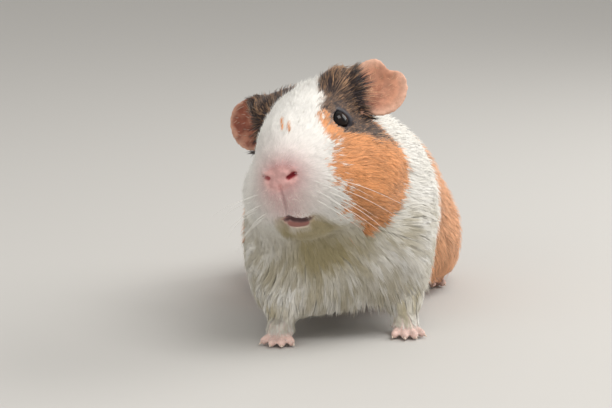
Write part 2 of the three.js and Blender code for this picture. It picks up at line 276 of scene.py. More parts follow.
def rounded_copy(node, levels=0):
    """A copy of a solid, its loose triangles merged along their edges, and smoothed by subdivision."""
    copy = add_object(node + "_copy", nodes[node].data.copy())
    edited(copy, bpy.ops.mesh.remove_doubles, threshold=MERGE_WITHIN)
    copy.data.materials.clear()
    if levels:
        rounder = copy.modifiers.new("rounder", "SUBSURF")
        rounder.levels = rounder.render_levels = levels
        bpy.ops.object.modifier_apply(modifier="rounder")
    return copy


def joined(things, name):
    """One object out of several."""
    deselect()
    for thing in things:
        thing.select_set(True)
    bpy.context.view_layer.objects.active = things[0]
    bpy.ops.object.join()
    things[0].name = name
    return things[0]


flesh_copies = []
for name in FLESH:
    is_ear = name.startswith("ear")
    copy = rounded_copy(name, levels=2 if is_ear else 0)
    grow = EAR_GROW if is_ear else GROW
    at = places(copy.data)
    if name.startswith("foot"):
        grow = TOE_GROW + (GROW - TOE_GROW) * smooth(TOE_TOP, WRIST_CUT, at[:, 2:])
    set_places(copy.data, at + normals_of(copy.data) * grow)
    flesh_copies.append(copy)
print("flesh solids copied:", len(flesh_copies))

# %% [markdown]
# ## Eyelids
# A guinea pig's lids are thin dark rims that hug the eyeball, round a slanting almond-shaped opening. Each
# pair is a set of closed tubes that run round the opening, the first at the eyeball's surface and the others
# wider and deeper, so that the lid slopes into the cheek.

# %% Lid rolls
EYE_RADIUS = 5.4
EYE_GAZE = np.array([0.9, -0.42, 0.1])  # the left eye's, in the head's frame
OPENING = (4.6, 4.1)  # half the opening along its slant and across it, mm
OPENING_SLANT = math.radians(-20)
LID_ROLL = 0.85  # radius of the lid's rounded edge
LID_ROLLS = 4  # one outside the other
RING_STEPS, ROLL_STEPS = 48, 10


def eye_axes(side):
    """Three directions at an eye, in the head's frame: along the opening, across it, and out of the eye."""
    out = unit(EYE_GAZE * [SIDES[side], 1, 1])
    along = unit(np.cross([0, 0, 1], out)) * SIDES[side]
    across = unit(np.cross(out, along)) * SIDES[side]
    c, s = math.cos(OPENING_SLANT), math.sin(OPENING_SLANT)
    return along * c + across * s, across * c - along * s, out


def eye_middle(side):
    return EYE_AT * [SIDES[side], 1, 1]


def mesh_object(name, points, faces):
    """An object of its own from points in mm and faces, with the faces turned outwards."""
    mesh = bpy.data.meshes.new(name)
    mesh.from_pydata([Vector(p * MM) for p in points], [], faces)
    thing = add_object(name, mesh)
    edited(thing, bpy.ops.mesh.normals_make_consistent, inside=False)
    return thing


def circle(middle, radius, first, second, steps):
    """Points round a middle, turning from the first direction towards the second."""
    turns = [2 * math.pi * j / steps for j in range(steps)]
    return [middle + radius * (first * math.cos(turn) + second * math.sin(turn)) for turn in turns]


def tube(name, path, radius, around):
    """A closed ring of flesh along a path, in mm."""
    rows = []
    count = len(path)
    for i, point in enumerate(path):
        ahead = unit(path[(i + 1) % count] - path[i - 1])
        outward = unit(around[i] - ahead * (around[i] @ ahead))
        rows += circle(point, radius, outward, np.cross(ahead, outward), ROLL_STEPS)
    faces = []
    for i in range(count):
        for j in range(ROLL_STEPS):
            a, b = i * ROLL_STEPS, ((i + 1) % count) * ROLL_STEPS
            faces.append((a + j, a + (j + 1) % ROLL_STEPS, b + (j + 1) % ROLL_STEPS, b + j))
    return mesh_object(name, rows, faces)


def lid_path(side, grow):
    """Points round the opening, on a ball a little larger than the eye, in the head's frame."""
    along, across, out = eye_axes(side)
    points = []
    for i in range(RING_STEPS):
        turn = 2 * math.pi * i / RING_STEPS
        x = math.cos(turn) * (OPENING[0] + grow)
        y = math.sin(turn) * (OPENING[1] + grow) * (1 - 0.2 * math.cos(turn))
        ball = EYE_RADIUS + 0.25
        depth = math.sqrt(max(ball**2 - x * x - y * y, 1.0))
        points.append(eye_middle(side) + along * x + across * y + out * depth)
    return np.array(points)


for side in SIDES:
    for step in range(LID_ROLLS):
        path = lid_path(side, LID_ROLL + step * 0.95)
        outward = unit(path - eye_middle(side))
        sunk = path - outward * (0.1 + 0.28 * step)
        flesh_copies.append(tube(f"lid_{side}_{step}", from_head(sunk), LID_ROLL, outward @ HEAD_TURN.T))
print("lid rolls:", LID_ROLLS * len(SIDES))

# %% Wrap the flesh in one surface
skin = joined(flesh_copies, "skin")
skin.data.name = "skin"
remesh = skin.modifiers.new("wrap", "REMESH")
remesh.mode = "VOXEL"
remesh.voxel_size = VOXEL * MM
bpy.ops.object.modifier_apply(modifier="wrap")
print("skin after the wrap:", len(skin.data.polygons), "faces")


def relaxed(points, ends, strength, rounds, give_back=-0.58):
    """Slides each point towards the middle of its neighbours, and back a little, to keep the volume."""
    count = np.bincount(ends.ravel(), minlength=len(points))[:, None]
    strength = np.broadcast_to(np.asarray(strength, float), (len(points),))[:, None]
    for _ in range(rounds):
        for share in (0.6, give_back):
            total = np.zeros_like(points)
            for axis in range(points.shape[1]):
                total[:, axis] = np.bincount(ends[:, 0], points[ends[:, 1], axis], len(points))
                total[:, axis] += np.bincount(ends[:, 1], points[ends[:, 0], axis], len(points))
            points = points + share * strength * (total / np.maximum(count, 1) - points)
    return points


SMOOTHING_ROUNDS = 24
WRIST = {"half": 2.2, "strength": 0.9, "rounds": 14}  # the band where the foot runs into the leg
ends = read(skin.data.edges, "vertices", 2, int)  # both ends of every edge, for smoothing
raw = places(skin.data)
even = relaxed(raw, ends, smooth(TOE_TOP - 2, 14, raw[:, 2]) * 0.85 + 0.15, SMOOTHING_ROUNDS)
wrist = np.exp(-(((even[:, 2] - WRIST_CUT) / WRIST["half"]) ** 2))
even = relaxed(even, ends, WRIST["strength"] * wrist, WRIST["rounds"], give_back=0)  # no step is left there
even[:, 2] = np.maximum(even[:, 2], 0)  # the soles stay on the floor
set_places(skin.data, even)

# %% [markdown]
# ## Where the skin is bare, and how deep the coat is
# The ears and feet are nearly naked, and so are the nose, the lips and the rims of the eyes. Elsewhere the
# skin has to lie under the solids by the depth of the coat: a millimetre on the face, three on the body.
# Both are fields, smooth functions of the place, so that the same ones serve the skin and the tufts.

# %% Bare places and coat depth
NOSE = np.array([0.0, -39.0, -17.0])  # between the nostrils and the lip
MOUTH = np.array([0.0, -33.0, -32.0])
COAT = {"face": 1.0, "body": 2.8}  # depth, mm
THINNEST_COAT = 0.15
FOOT_TOP, LEG_TOP = 6.0, 28.0  # heights between which the leg's hair thickens


def tree_of(*names):
    """For the distance to some of the solids."""
    points, faces = [], []
    for name in names:
        mesh = nodes[name].data
        start = len(points)
        points += [Vector(v.co) / MM for v in mesh.vertices]
        faces += [[start + i for i in face.vertices] for face in mesh.polygons]
    return BVHTree.FromPolygons(points, faces)


def distance_to(tree, points, reach):
    found = [tree.find_nearest(Vector(p), reach)[3] for p in points]
    return np.array([reach if gap is None else gap for gap in found])


EAR_TREES = {side: tree_of("ear_" + side) for side in SIDES}
EAR_BASE = np.array([21.0, 20.0, 5.0])  # where the left ear leaves the head, in the head's frame
EAR_REACH = (9.0, 7.0)  # from there to the middle of the leaf: outwards and upwards in its plane
EAR_RADIUS = 12.6
EAR_FACING = {"left": (0.43, -0.9, 0.09), "right": (-0.25, -0.95, 0.12)}  # the way each opening looks
EAR_RAISED = {"left": 0.0, "right": 1.4}
foot_tree = tree_of(*[name for name in nodes if name.startswith("foot")])


def ear_axes(side):
    """Three directions at an ear, in the head's frame: outwards and upwards in its leaf, and its facing."""
    facing = unit(EAR_FACING[side])
    upwards = unit(np.array([0, 0, 1]) - facing * facing[2])
    return np.cross(upwards, facing) * SIDES[side], upwards, facing


def ear_base(side):
    return EAR_BASE * [SIDES[side], 1, 1] + [0, 0, EAR_RAISED[side]]


def ear_middle(side):
    outwards, upwards, _ = ear_axes(side)
    return ear_base(side) + outwards * EAR_REACH[0] + upwards * EAR_REACH[1]


def in_ear(head, side):
    """Outwards, upwards and forwards from the middle of an ear's leaf, mm."""
    return (head - ear_middle(side)) @ np.column_stack(ear_axes(side))


def nose_gap(head):
    """Distance to the nose."""
    return np.linalg.norm(head - NOSE, axis=1)


def ear_share(points):
    """1 on an ear's leaf, 0 away from it."""
    share = np.zeros(len(points))
    for side in SIDES:
        low, high = (np.array(corner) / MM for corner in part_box("ear_" + side))
        inside = ((points > low - 3) & (points < high + 3)).all(1)
        gap = distance_to(EAR_TREES[side], points[inside], 3.0)
        share[inside] = np.maximum(share[inside], smooth(2.2, 0.5, gap))
    return share


def foot_share(points):
    """1 on the toes and the sole, fading up the back of the foot."""
    low = points[:, 2] < 12
    share = np.zeros(len(points))
    share[low] = smooth(2.5, 0.6, distance_to(foot_tree, points[low], 3.0))
    return share * smooth(7.0, 3.8, points[:, 2])


def eye_gap(head):
    """Distance to the middle of the nearer eye."""
    return np.minimum(*[np.linalg.norm(head - eye_middle(side), axis=1) for side in SIDES])


def coat_depth(points, head, bare):
    """How far the tips of the coat stand over the skin, mm."""
    from_nose = nose_gap(head)
    depth = THINNEST_COAT + COAT["face"] * smooth(5, 26, from_nose)
    depth += (COAT["body"] - COAT["face"]) * smooth(24, 72, from_nose)
    depth *= smooth(6.6, 13, eye_gap(head)) * (1 - 0.85 * near(head, MOUTH, (8, 6, 4)))
    depth *= 0.25 + 0.75 * smooth(FOOT_TOP, LEG_TOP, points[:, 2])
    return depth * (1 - bare)


# %% Thin out the skin under the deep coat
KEEP_FINE = 60.0  # mm from the nose: nearer than this, more faces are kept


def select_faces(chosen):
    """Selects faces of the skin by a list of yes and no, and leaves the skin in edit mode."""
    activate(skin)
    bpy.ops.object.mode_set(mode="EDIT")
    bpy.ops.mesh.select_mode(type="FACE")
    bpy.ops.mesh.select_all(action="DESELECT")
    bpy.ops.object.mode_set(mode="OBJECT")
    skin.data.polygons.foreach_set("select", chosen)
    bpy.ops.object.mode_set(mode="EDIT")


def face_middles(mesh):
    return read(mesh.polygons, "center") / MM


def thin_out(zone, keep):
    """Merges faces of a zone until that share of them is left."""
    middles = face_middles(skin.data)
    select_faces(zone(middles, to_head(middles)))
    bpy.ops.mesh.decimate(ratio=keep)
    bpy.ops.object.mode_set(mode="OBJECT")


def under_body_coat(points, head):
    away = nose_gap(head) > KEEP_FINE
    clear = np.maximum(ear_share(points), foot_share(points)) < 0.05
    return away & clear & (points[:, 2] > 11)


def under_head_coat(points, head):
    from_nose = nose_gap(head)
    return (from_nose < KEEP_FINE) & (from_nose > 17) & (eye_gap(head) > 10) & (ear_share(points) < 0.05)


thin_out(under_body_coat, 0.13)
thin_out(under_head_coat, 0.45)
print("skin after thinning:", len(skin.data.polygons), "faces")

# %% Finer faces on the nose, mouth and lids


def refine(zone):
    """Cuts the faces of a zone in four; the zone is given in the head's frame."""
    select_faces(zone(to_head(face_middles(skin.data))))
    bpy.ops.mesh.subdivide(number_cuts=1)
    bpy.ops.mesh.select_all(action="SELECT")
    bpy.ops.mesh.quads_convert_to_tris()
    bpy.ops.object.mode_set(mode="OBJECT")


LID_ZONE = 7.4  # mm from the middle of an eye


def nose_or_mouth(head):
    on_nose = np.linalg.norm(head - NOSE - [0, 0, 2], axis=1) < 8.5
    return (on_nose | (np.linalg.norm(head - MOUTH, axis=1) < 9)) & (head[:, 1] < -27)


refine(nose_or_mouth)
refine(lambda head: eye_gap(head) < LID_ZONE)
ends = read(skin.data.edges, "vertices", 2, int)  # both ends of every edge, for smoothing
points = places(skin.data)
set_places(skin.data, relaxed(points, ends, 0.6, 3))
print("skin after refining:", len(skin.data.polygons), "faces")

# %% Lay the skin in by the coat's depth
points = places(skin.data)
head = to_head(points)
bare = np.maximum(ear_share(points), foot_share(points))
depth = coat_depth(points, head, bare)
smooth_normals = unit(relaxed(normals_of(skin.data), ends, 1.0, 4))
depth = relaxed(depth[:, None], ends, 1.0, 4)[:, 0]
inward = points - smooth_normals * depth[:, None]
set_places(skin.data, relaxed(inward, ends, 1 - bare, 2))
print("coat depth in mm, mean and most:", depth.mean().round(2), depth.max().round(2))

# %% [markdown]
# ## Sculpt the nose and the mouth
# The nostrils are two slanting commas under soft wings. A groove runs from between them down to the split
# upper lip, whose two lobes hang over a short lower lip. A fold runs inwards from the notch of each ear. Each
# is a small push along a direction, faded with the distance to a line, as a sculpting brush does it.

# %% Brushes
NOSTRILS = {  # from the inner to the outer end
    "left": [(3.7, -39.6, -16.0), (5.0, -39.2, -15.6), (6.3, -38.8, -15.2)],
    "right": [(-4.6, -39.5, -14.0), (-5.4, -39.1, -13.3), (-6.2, -38.6, -12.8)],
}
NOSTRIL_DEPTH = {"left": 2.0, "right": 1.4}
GROOVE = [
    (-0.5, -40, -18),
    (-0.7, -39.8, -20.3),
    (-0.8, -39.3, -23),
    (-1.1, -38.3, -26),
    (-2.1, -36.2, -30.2),
]
MOUTH_LINE = [  # a little askew, from its right corner over the notch to its left corner
    (-6.2, -34.3, -31.7),
    (-4.2, -35.1, -31.3),
    (-2.2, -35.6, -30.9),
    (-0.7, -34.6, -32.2),
    (1.6, -33.8, -33.1),
    (3.8, -33.0, -33.5),
    (6.3, -31.4, -34.2),
]
LOWER_LIP = [(-3.0, -33.4, -33.8), (-0.5, -32.5, -34.8), (2.7, -31.9, -35.3)]
# From each corner of the mouth a crease runs back between the chin and the cheek.
JAW_CREASES = [
    [(6.3, -31.4, -34.4), (7.2, -27, -37.6), (7.5, -19.5, -41), (8, -8, -44.5)],
    [(-6.6, -33.8, -32), (-9.6, -29.5, -34.6), (-10, -20, -39.3), (-10, -9, -43)],
]
CHIN = (-1.0, -26.5, -38.5)
UNDER_CHIN = (-4.0, -11.0, -43.0)
# Each ear is folded from the notch in its rim inwards: the fold's angle in its leaf, in radians, and its ends
# as shares of the leaf's radius.
EAR_FOLD = {"left": (0.77, 0.75, -0.15), "right": (1.5, 0.9, 0.3)}


def line_gap(points, line):
    """Distance to a line through a few points."""
    best = np.full(len(points), 1e9)
    line = np.asarray(line, float)
    for a, b in zip(line[:-1], line[1:]):
        t = np.clip((points - a) @ (b - a) / ((b - a) @ (b - a)), 0, 1)[:, None]
        best = np.minimum(best, np.linalg.norm(points - (a + t * (b - a)), axis=1))
    return best


def brush(head, line, width, push):
    """Moves points near a line by the vector push, in the head's frame."""
    share = np.exp(-((line_gap(head, line) / width) ** 2))
    return head + share[:, None] * np.asarray(push, float)


def nearest_gap(points, lines):
    """Distance to the nearest of several lines."""
    return np.min([line_gap(points, line) for line in lines], axis=0)


# %% Sculpt
# The solids' nostrils are round pits: they are smoothed away first, and cut afresh as slits.
PIT = np.array([5.2, -38.2, -14.4])
PIT_RADIUS, PIT_ROUNDS = 3.6, 90
points = places(skin.data)
head = to_head(points)
pits = near(head, PIT, PIT_RADIUS) + near(head, PIT * [-1, 1, 1], PIT_RADIUS)
head = to_head(relaxed(points, ends, np.clip(1.3 * pits, 0, 1), PIT_ROUNDS, give_back=0))
for side, line in NOSTRILS.items():
    sign = SIDES[side]
    head = brush(head, np.add(line, (0.3 * sign, 0, 2.0)), 1.5, (0.15 * sign, -0.65, 0.2))  # wing
    head = brush(head, np.add(line, (0.2 * sign, 0, -1.9)), 1.3, (0.1 * sign, -0.3, 0))  # the sill below
    head = brush(head, line, 0.8, np.multiply((-0.2 * sign, 1.0, 0.4), NOSTRIL_DEPTH[side]))
head = brush(head, MOUTH_LINE, 0.8, (0, 1.5, 0.3))
for line in JAW_CREASES:
    head = brush(head, line, 2.3, (0, 0.7, 1.5))
head = head + near(head, UNDER_CHIN, (14, 9, 5))[:, None] * [0, 0.4, 1.8]
head = brush(head, GROOVE, 0.7, (0, 1.1, 0))
head = brush(head, LOWER_LIP, 1.4, (0, -0.6, -0.1))
for side, (turn, rim, end) in EAR_FOLD.items():
    outwards, upwards, facing = ear_axes(side)
    fold_way = outwards * math.cos(turn) + upwards * math.sin(turn)
    fold = [ear_middle(side) + fold_way * EAR_RADIUS * far for far in (rim, end)]
    head = brush(head, fold, 4.0, facing * 0.7)
    head = brush(head, fold, 1.3, facing * -1.5)
points = from_head(head)
points[:, 2] = np.maximum(points[:, 2], 0)
set_places(skin.data, points)
for face in skin.data.polygons:
    face.use_smooth = True
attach(skin, "root")
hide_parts(*FLESH)
print("skin triangles:", sum(len(face.vertices) - 2 for face in skin.data.polygons))


# %% [markdown]
# ## Materials
# Skin, coat, eyes and claws are procedural. What changes from place to place, such as the markings, is
# stored on the mesh as a few numbers for each point, and the nodes turn those numbers into colour. Values
# that are the same all over are set on the shader itself.

# %% Material helpers


def attribute(tree, name):
    node = tree.nodes.new("ShaderNodeAttribute")
    node.attribute_name = name
    return node.outputs["Fac"]


def mixed(tree, share, first, second, kind="MIX"):
    """Blends two colours; share is a socket or a number, and each colour a socket or four numbers."""
    node = tree.nodes.new("ShaderNodeMix")
    node.data_type, node.blend_type = "RGBA", kind
    for socket, value in ((0, share), (6, first), (7, second)):
        if isinstance(value, bpy.types.NodeSocket):
            tree.links.new(value, node.inputs[socket])
        else:
            node.inputs[socket].default_value = value
    return node.outputs[2]


def noise(tree, size, detail=3.0):
    """Cloudy noise on object coordinates, whose lumps are about size mm across."""
    where = tree.nodes.new("ShaderNodeTexCoord")
    node = tree.nodes.new("ShaderNodeTexNoise")
    node.inputs["Scale"].default_value = 1 / (size * MM)
    node.inputs["Detail"].default_value = detail
    tree.links.new(where.outputs["Object"], node.inputs["Vector"])
    return node.outputs["Fac"]


def ramp(tree, value, low, high, bottom=0.0, top=1.0):
    """Stretches a value so that low becomes bottom and high becomes top."""
    node = tree.nodes.new("ShaderNodeMapRange")
    node.interpolation_type = "SMOOTHSTEP"
    for socket, number in (("From Min", low), ("From Max", high), ("To Min", bottom), ("To Max", top)):
        node.inputs[socket].default_value = number
    tree.links.new(value, node.inputs["Value"])
    return node.outputs["Result"]


def bump(tree, shader, height, distance, strength=1.0):
    node = tree.nodes.new("ShaderNodeBump")
    node.inputs["Distance"].default_value = distance * MM
    node.inputs["Strength"].default_value = strength
    tree.links.new(height, node.inputs["Height"])
    tree.links.new(node.outputs["Normal"], shader.inputs["Normal"])


def calculated(tree, operation, first, second):
    """The product or the sum of two values, kept between 0 and 1."""
    node = tree.nodes.new("ShaderNodeMath")
    node.operation, node.use_clamp = operation, True
    tree.links.new(first, node.inputs[0])
    tree.links.new(second, node.inputs[1])
    return node.outputs["Value"]


def grey(tree, value):
    """A value as a colour without hue."""
    node = tree.nodes.new("ShaderNodeCombineColor")
    for channel in ("Red", "Green", "Blue"):
        tree.links.new(value, node.inputs[channel])
    return node.outputs["Color"]


def layered(tree, colour, **paints):
    """Lays paints over a colour, each as thickly as the attribute of its name says."""
    for name, paint in paints.items():
        colour = mixed(tree, attribute(tree, name), colour, paint)
    return colour


def store(mesh, **layers):
    """Writes numbers on a mesh's points, each layer under its own name."""
    for name, values in layers.items():
        layer = mesh.attributes.new(name, "FLOAT", "POINT")
        layer.data.foreach_set("value", np.asarray(values, np.float32))


# %% Colours of hair and skin
HAIR = {
    "white": (0.95, 0.935, 0.895, 1),
    # The root colours, darker than the tips, are painted shade deep in the coat; the skin under the coat
    # takes them too.
    "white_shaded_root": (0.92, 0.89, 0.82, 1),
    # A dark olive cream: painted shade under the jaw, on the throat and the chin, and a real cream tint on
    # the body.
    "cream": (0.47, 0.40, 0.23, 1),
    "ginger": (0.90, 0.41, 0.17, 1),
    "ginger_shaded_root": (0.62, 0.22, 0.07, 1),
    "dark": (0.040, 0.027, 0.027, 1),
    "tan": (0.60, 0.35, 0.19, 1),
    "flushed": (0.66, 0.42, 0.42, 1),
}
SKIN = {
    "pink": (0.62, 0.35, 0.33, 1),
    "nostril": (0.30, 0.03, 0.04, 1),
    "lip": (0.29, 0.12, 0.10, 1),
    # The dark of the mouth's slit and of the groove above it is painted shade.
    "crease": (0.10, 0.05, 0.05, 1),
    "lid": (0.045, 0.042, 0.05, 1),
    "ear": (0.64, 0.30, 0.19, 1),
    # A dark red that is painted shade inside the ears.
    "ear_deep": (0.25, 0.065, 0.035, 1),
    "rim": (0.74, 0.44, 0.32, 1),
    "foot": (0.74, 0.52, 0.46, 1),
}

# %% [markdown]
# ## Markings
# White in front, with a blaze between the eyes and two ginger streaks on it; a dark ticked patch over each
# eye and ear; a ginger cheek, and a ginger hind half. The borders are soft formulas in the head's frame and
# the body's, roughened by a ripple of a few millimetres, because no real border is a clean line.

# %% Markings as fields
GINGER_FROM = -6.0  # mm along the body at the elbow: ginger behind this, and further back at the withers
BLAZE_STREAKS = [
    [(1.8, -23.7, 7.9), (2.8, -29.1, 3.7)],
    [(5.0, -25.4, 6.6), (6.0, -30.3, 2.0)],
]


def ripple(points, size, seed):
    """A smooth random wave between about -1 and 1, whose hills are about size mm apart."""
    waves = np.random.default_rng(seed)
    ways = unit(waves.normal(size=(7, 3))) * (2 * math.pi / size) * waves.uniform(0.6, 1.4, (7, 1))
    return np.sin(points @ ways.T + waves.uniform(0, 2 * math.pi, 7)).sum(1) / 3.2


# The coloured patch of the left cheek, in mm in the head's frame: heights, and there how far from the
# middle it begins and how far back it reaches.
PATCH_FRONT = (
    [-46, -39.6, -33, -30, -26, -20, -14.6, -11.8, -7, -2.1, 1.7, 6, 8.5, 12, 15, 20],
    [11.3, 14.2, 15.9, 18.6, 19.7, 18.6, 18.7, 19.6, 18.6, 15.2, 13.6, 12.7, 13.2, 12.0, 10.7, 8.1],
)
PATCH_BACK = ([-47, -45.5, -44, -38.6, -31.4, -25.4, -19, -11], [-5, 2, 8.6, 12.6, 17.3, 22.8, 30, 29])
# The dark patch round the eye and the ear: places along the head, and there how low it reaches.
DARK_EDGE = ([-12, -8, -3, 3, 12, 22], [-2.6, -3.9, -5.7, -9.2, -11.5, -12.5])


def markings(points, head, fringe=0.0):
    """Shares of ginger and of dark hair, 0 to 1; fringe moves the border for each hair its own way."""
    x, y, z = head.T
    calm = 0.35 + 0.65 * smooth(0, -12, z) * smooth(60, 20, np.abs(y))  # ragged on the cheek alone
    wobble = calm * (1.3 * ripple(points, 9, 1) + 0.8 * ripple(points, 3.5, 2) + fringe)
    front = np.interp(z, *PATCH_FRONT)
    left = np.minimum(x - front, 0.8 * (np.interp(z, *PATCH_BACK) - y))
    strip = 3.0 * smooth(9, 5, z)  # ginger shows in front of the dark patch, up to the eye
    dark_left = np.minimum(left - strip, 0.9 * (z - np.interp(y, *DARK_EDGE)))
    right = np.minimum(-2.5 - x, y - 5.3 - 0.15 * (-x - 2.5))
    dark_right = np.minimum(np.minimum(right, 29 - y), z + 7)
    cheek_right = np.minimum(np.minimum(y - 15, 30 - y), np.minimum(z + 32, -4 - z))
    cheek_right = np.where(x < 0, cheek_right, -9)
    body_x, body_y, body_z = points.T
    border = GINGER_FROM + 12 * smooth(52, 66, body_z) + 68 * smooth(64, 88, body_z)
    border += 62 * smooth(0, -25, body_x) * smooth(22, 48, body_z) * smooth(84, 70, body_z)
    body = body_y - border - 3.5 * ripple(points, 38, 3)
    on_head = smooth(34, 26, y)
    dark = np.maximum(dark_left, dark_right) + wobble
    ginger = np.maximum(left, cheek_right) + wobble
    ginger = np.maximum(ginger, np.where(on_head < 0.5, body + 1.6 * wobble, -9))
    ginger = np.maximum(ginger, 1.2 - 2.1 * nearest_gap(head, BLAZE_STREAKS) + 0.2 * fringe)
    dark = smooth(-0.7, 0.7, dark) * on_head
    return smooth(-0.7, 0.7, ginger) * (1 - dark), dark


def creamy(head):
    """How far white hair is darkened to olive cream: painted shade under the jaw, on the throat and the chin,
    most; a real cream tint on the body, a little.
    """
    under_jaw = smooth(5.0, 0.5, nearest_gap(head, JAW_CREASES))
    throat = np.maximum(near(head, (-2, -5, -47), (22, 13, 8)), near(head, UNDER_CHIN, (17, 12, 5)))
    chin = near(head, CHIN, (10, 7, 4.5))
    body = 0.1 * smooth(40, 75, nose_gap(head))
    return np.clip(0.95 * under_jaw + 0.9 * throat + chin + body, 0, 1)


# %% [markdown]
# ## The skin's own colours
# Under the coat the skin carries the hair's colours, so that nothing wrong shines through, and the painted
# shade under the jaw. The bare places have their own: pink nose and lips, wine-red nostrils, slate lids,
# peach ears with paler rims, pink feet. Painted shade darkens the mouth's slit, the groove above it and the
# inside of the ears.

# %% Paint the skin
points = places(skin.data)
head = to_head(points)
ginger, dark = markings(points, head)
ears = ear_share(points)
pink = near(head, (1, -39, -14.5), (10, 9, 8)) + 0.8 * near(head, (-1, -35, -31), (7, 7, 5))
slit_gap = {
    side: line_gap(head, np.add(line, (0, 0.7 * NOSTRIL_DEPTH[side], 0.4))) for side, line in NOSTRILS.items()
}
mouth_gap = line_gap(head, np.add(MOUTH_LINE, (0, 0.7, 0.1)))
rim = np.zeros(len(points))
# Painted shade inside the ears: over the whole inside of the right ear, and towards the foot of the left
# ear's leaf.
deep = np.zeros(len(points))
for side in SIDES:
    outwards, upwards, _ = in_ear(head, side).T
    from_middle = np.hypot(outwards, upwards) / EAR_RADIUS
    rim = np.maximum(rim, smooth(0.55, 0.95, from_middle) * (from_middle < 1.5))
    shade = smooth(0.7, 0.1, np.hypot(outwards + 5, upwards + 4) / EAR_RADIUS)
    deep = np.maximum(deep, 0.7 * shade if side == "left" else 1.5 * smooth(1.15, 0.6, from_middle))
store(
    skin.data,
    cream=creamy(head),
    ginger=ginger,
    dark=dark,
    pink=np.clip(pink * 1.5, 0, 1),
    foot=np.maximum(foot_share(points), 0.5 * smooth(13, 7, points[:, 2])),
    ear=ears,
    rim=rim * ears,
    deep=np.clip(deep, 0, 1.2) * ears,
    lip=smooth(2.4, 1.3, line_gap(head, LOWER_LIP)),
    # Painted shade in the mouth's slit and in the groove above it.
    crease=np.maximum(smooth(1.7, 0.7, mouth_gap), 0.8 * smooth(1.0, 0.3, line_gap(head, GROOVE[2:]))),
    nostril=np.maximum(smooth(1.8, 0.8, slit_gap["left"]), 0.8 * smooth(1.4, 0.5, slit_gap["right"])),
    lid=smooth(7.5, 6.3, eye_gap(head)),
)

skin_paint, tree, shader = new_material("skin_paint", Roughness=0.55, Specular_IOR_Level=0.35)
under_hair = {"cream": HAIR["cream"], "ginger": HAIR["ginger_shaded_root"], "dark": HAIR["dark"]}
colour = layered(tree, HAIR["white_shaded_root"], **under_hair)
colour = layered(tree, colour, **{name: SKIN[name] for name in ("pink", "foot", "ear", "rim")})
# The ears' painted shade is broken into patches.
patchy = ramp(tree, noise(tree, 5.0, 3), 0.35, 0.65, 0.45, 0.95)
ear_shade_patches = calculated(tree, "MULTIPLY", attribute(tree, "deep"), patchy)
colour = mixed(tree, ear_shade_patches, colour, SKIN["ear_deep"])
mottle = ramp(tree, noise(tree, 2.6, 4), 0.35, 0.7, 0.82, 1.1)
colour = mixed(tree, 1.0, colour, grey(tree, mottle), "MULTIPLY")
colour = layered(tree, colour, **{name: SKIN[name] for name in ("lip", "crease", "nostril", "lid")})
tree.links.new(colour, shader.inputs["Base Color"])
bump(tree, shader, noise(tree, 0.9, 4), 0.25, 0.6)
skin.data.materials.clear()
skin.data.materials.append(skin_paint)
print("skin painted; ginger share", ginger.mean().round(2), "dark share", dark.mean().round(3))

# %% [markdown]
# ## Eyes
# Each eye is a wet, almost black ball with a clear bulge over a dark brown iris. The bulge is what catches
# the light, so the ball is pushed out around the direction of its gaze.

# %% Eyes
eye_paint, tree, shader = new_material("eye_paint", Roughness=0.05, IOR=1.34, Specular_IOR_Level=0.45)
black, brown, flesh = (0.003, 0.003, 0.004, 1), (0.012, 0.006, 0.004, 1), (0.55, 0.40, 0.40, 1)
tree.links.new(layered(tree, black, iris=brown, corner=flesh), shader.inputs["Base Color"])
for side in SIDES:
    at = Vector(from_head(eye_middle(side)) * MM)
    bpy.ops.mesh.primitive_uv_sphere_add(segments=48, ring_count=32, radius=EYE_RADIUS * MM, location=at)
    ball = bpy.context.object
    ball.name = "eyeball_" + side
    activate(ball)
    bpy.ops.object.transform_apply(location=True)
    local = to_head(places(ball.data)) - eye_middle(side)
    along, across, out = eye_axes(side)
    facing = unit(local) @ out
    corner = smooth(0.62, 0.8, unit(local) @ unit(along * 0.86 - across * 0.5))  # the flesh at the inner end
    local = local * (1 + 0.05 * smooth(0.6, 1.0, facing))[:, None]
    set_places(ball.data, from_head(local + eye_middle(side)))
    store(ball.data, iris=smooth(0.8, 0.9, facing) * smooth(0.985, 0.96, facing), corner=corner)
    bpy.ops.object.shade_smooth()
    ball.data.materials.append(eye_paint)
    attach(ball, "root")
    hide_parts("eye_" + side)
print("eyes set in")

# %% [markdown]
# ## Claws
# The claws are horn, pale and a little see-through, slightly hooked. Each foot's claws are rounded copies of
# their solids, joined into one piece.

# %% Claws
claw_paint, tree, shader = new_material("claw_paint", Roughness=0.35, Specular_IOR_Level=0.5)
horn = mixed(tree, ramp(tree, noise(tree, 0.8, 2), 0.3, 0.7), (0.62, 0.47, 0.38, 1), (0.80, 0.68, 0.58, 1))
tree.links.new(horn, shader.inputs["Base Color"])
bump(tree, shader, noise(tree, 0.35, 2), 0.05, 0.5)
for end in ("front", "hind"):
    for side in SIDES:
        members = sorted(name for name in nodes if name.startswith(f"claw_{end}_{side}"))
        copies = [rounded_copy(member, levels=1) for member in members]
        claws = joined(copies, f"claws_{end}_{side}")
        bpy.ops.object.shade_smooth()
        claws.data.materials.append(claw_paint)
        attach(claws, "root")
        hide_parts(*members)
print("claws rounded")

# %% [markdown]
# ## The lie of the coat
# Hair streams back from the nose over the forehead and the cheeks, down the throat and the breast, and
# backwards and down along the trunk. The field below gives that direction anywhere on the skin; a ripple
# turns it a little from place to place, as a real coat parts and gathers.

